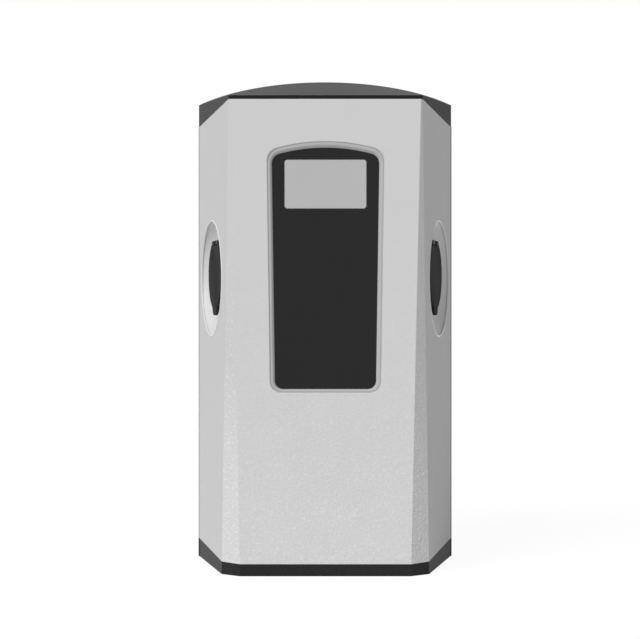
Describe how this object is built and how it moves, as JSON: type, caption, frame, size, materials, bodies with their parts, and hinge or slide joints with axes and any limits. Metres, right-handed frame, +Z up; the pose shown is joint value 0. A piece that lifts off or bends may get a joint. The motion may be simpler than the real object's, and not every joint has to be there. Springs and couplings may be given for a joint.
{
  "type": "ev wallbox",
  "caption": "Wall-mounted electric vehicle charging point with a leaning front, an arched cap, a display panel and a lidded socket in each side.",
  "frame": {"origin": "centre of the object's box at the foot", "axes": "+Z up, -Y out of the front, +Y to the wall, +X to the right seen from the front"},
  "size_m": [0.3208, 0.201, 0.6],
  "materials": {
    "shell_grey": "textured powder coat",
    "cap_dark": "moulded, satin",
    "base_dark": "moulded, satin",
    "housing_dark": "moulded, fine texture",
    "seal_rubber": "matte",
    "screw_steel": "turned",
    "panel_black": "satin film",
    "screen_grey": "clear window over a grey display",
    "board_green": "solder resist",
    "spacer_brass": "turned",
    "ribbon_grey": "flat lead",
    "plate_zinc": "zinc plated",
    "gland_grey": "moulded nylon",
    "lid_black": "moulded, satin",
    "socket_black": "moulded",
    "contact_silver": "silver plated",
    "pin_steel": "drawn",
    "lead_orange": "sheathed lead",
    "device_grey": "moulded",
    "toggle_blue": "moulded",
    "button_yellow": "moulded"
  },
  "bodies": {
    "housing": {"base_cap": "base_dark", "base_screws": "screw_steel", "board_standoffs": "spacer_brass", "cap_screws": "screw_steel", "chassis_plate": "plate_zinc", "controller_board": "board_green", "cover_screws": "screw_steel", "din_rails": "plate_zinc", "display_module": "board_green", "display_panel": "panel_black", "display_window": "screen_grey", "earth_bar": "spacer_brass", "front_shell": "shell_grey", "gland_bodies": "gland_grey", "gland_dome_nuts": "gland_grey", "gland_lock_nuts": "gland_grey", "gland_seals": "seal_rubber", "housing_gasket": "seal_rubber", "left_bowl": "shell_grey", "left_breaker": "device_grey", "left_contactor": "device_grey", "left_current_sensor": "device_grey", "left_lock_actuator": "socket_black", "left_meter": "device_grey", "left_power_lead": "lead_orange", "left_socket_body": "socket_black", "left_socket_boot": "socket_black", "left_socket_contacts": "contact_silver", "lid_pins": "pin_steel", "lid_springs": "pin_steel", "panel_gasket": "seal_rubber", "plate_screws": "screw_steel", "power_supply": "device_grey", "reader_board": "board_green", "rear_housing": "housing_dark", "ribbon_lead": "ribbon_grey", "right_bowl": "shell_grey", "right_breaker": "device_grey", "right_contactor": "device_grey", "right_current_sensor": "device_grey", "right_lock_actuator": "socket_black", "right_meter": "device_grey", "right_power_lead": "lead_orange", "right_socket_body": "socket_black", "right_socket_boot": "socket_black", "right_socket_contacts": "contact_silver", "socket_gaskets": "seal_rubber", "socket_screws": "screw_steel", "terminal_block": "device_grey", "top_cap": "cap_dark", "vent_plug": "gland_grey"},
    "right_lid": {"right_lid": "lid_black"},
    "right_lock": {"right_lock_pin": "pin_steel"},
    "right_toggle": {"right_toggle": "toggle_blue"},
    "right_test_button": {"right_test_button": "button_yellow"},
    "left_lid": {"left_lid": "lid_black"},
    "left_lock": {"left_lock_pin": "pin_steel"},
    "left_toggle": {"left_toggle": "toggle_blue"},
    "left_test_button": {"left_test_button": "button_yellow"}
  },
  "joints": [
    {"name": "right_lid_hinge", "type": "hinge", "parent": "housing", "child": "right_lid", "pos_m": [0.1321, 0.01258, 0.39262], "axis": [-0.2346, -0.9721, 0], "range_deg": [0, 110], "stiffness_Nm_per_rad": 0.04, "springref_deg": -28.65},
    {"name": "right_lock_slide", "type": "slide", "parent": "housing", "child": "right_lock", "axis": [0, 0, -1], "range_m": [0, 0.005]},
    {"name": "right_toggle_pivot", "type": "hinge", "parent": "housing", "child": "right_toggle", "pos_m": [0.0185, 0.0285, 0.213], "axis": [1, 0, 0], "range_deg": [0, 40]},
    {"name": "right_test_slide", "type": "slide", "parent": "housing", "child": "right_test_button", "axis": [0, 1, 0], "range_m": [0, 0.002], "stiffness_N_per_m": 200, "springref_m": -0.001},
    {"name": "left_lid_hinge", "type": "hinge", "parent": "housing", "child": "left_lid", "pos_m": [-0.1321, 0.01258, 0.39262], "axis": [-0.2346, 0.9721, 0], "range_deg": [0, 110], "stiffness_Nm_per_rad": 0.04, "springref_deg": -28.65},
    {"name": "left_lock_slide", "type": "slide", "parent": "housing", "child": "left_lock", "axis": [0, 0, -1], "range_m": [0, 0.005]},
    {"name": "left_toggle_pivot", "type": "hinge", "parent": "housing", "child": "left_toggle", "pos_m": [-0.0545, 0.0285, 0.213], "axis": [1, 0, 0], "range_deg": [0, 40]},
    {"name": "left_test_slide", "type": "slide", "parent": "housing", "child": "left_test_button", "axis": [0, 1, 0], "range_m": [0, 0.002], "stiffness_N_per_m": 200, "springref_m": -0.001}
  ]
}
